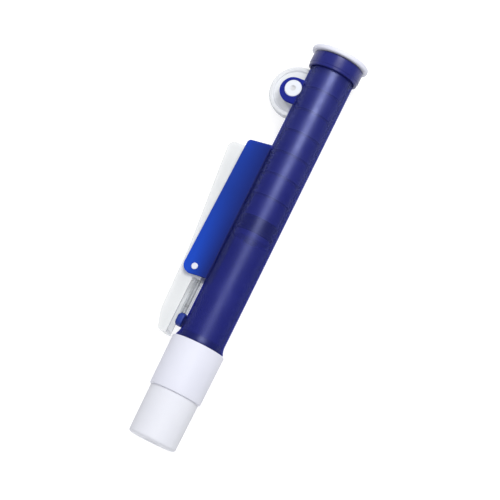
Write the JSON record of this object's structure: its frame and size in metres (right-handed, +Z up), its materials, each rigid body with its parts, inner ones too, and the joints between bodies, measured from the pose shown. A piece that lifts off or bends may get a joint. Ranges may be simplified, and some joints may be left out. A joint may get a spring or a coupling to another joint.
{
  "type": "pipette pump",
  "caption": "Hand pump for pipettes: thumbwheel-driven rack plunger in a blue barrel, sprung release lever on its side and a soft push-fit chuck.",
  "frame": {"origin": "centre of the pipette socket's mouth, on the barrel's axis", "axes": "+X along the barrel towards the plunger's disc, +Z up as it lies on a bench, wheel and lever towards +Y and dipped 20 degrees below the horizontal"},
  "size_m": [0.1905, 0.0416, 0.027],
  "materials": {
    "barrel_blue": "translucent blue moulded polypropylene",
    "collar_blue": "satin blue moulded plastic",
    "white_plastic": "satin white moulded plastic",
    "soft_white": "matt soft silicone",
    "natural_plastic": "translucent natural polypropylene",
    "black_rubber": "lightly greased rubber",
    "clear_tube": "clear tube",
    "blue_silicone": "soft silicone",
    "steel": "drawn stainless steel"
  },
  "bodies": {
    "barrel": {"barrel": "barrel_blue", "top_collar": "collar_blue", "nozzle_plug": "collar_blue", "nozzle_ring": "black_rubber", "chuck_shell": "white_plastic", "chuck_grip": "soft_white", "lever_pin": "white_plastic", "lever_spring": "steel"},
    "plunger": {"plunger_rack": "white_plastic", "plunger_cap": "white_plastic", "piston_seal": "black_rubber", "piston_retainer": "white_plastic", "piston_screw": "steel"},
    "wheel": {"thumbwheel": "natural_plastic", "pinion_near": "white_plastic", "pinion_far": "white_plastic"},
    "lever": {"lever": "natural_plastic", "valve_rod": "steel", "valve_sleeve": "clear_tube", "valve_plug": "blue_silicone"}
  },
  "joints": [
    {"name": "plunger_slide", "type": "slide", "parent": "barrel", "child": "plunger", "axis": [1, 0, 0], "range_m": [0, 0.042]},
    {"name": "wheel_spin", "type": "hinge", "parent": "barrel", "child": "wheel", "pos_m": [0.1678, 0.01109, -0.00404], "axis": [0, 0.342, 0.9397], "range_deg": [0, 502]},
    {"name": "lever_press", "type": "hinge", "parent": "barrel", "child": "lever", "pos_m": [0.0769, 0.01532, -0.00557], "axis": [0, -0.342, -0.9397], "range_deg": [0, 6], "stiffness_Nm_per_rad": 1.6, "springref_deg": -4.35, "deforming": ["lever_spring"]}
  ],
  "couplings": [
    {"joint": "wheel_spin", "follows": "plunger_slide", "rad_per_m": 208.33}
  ]
}
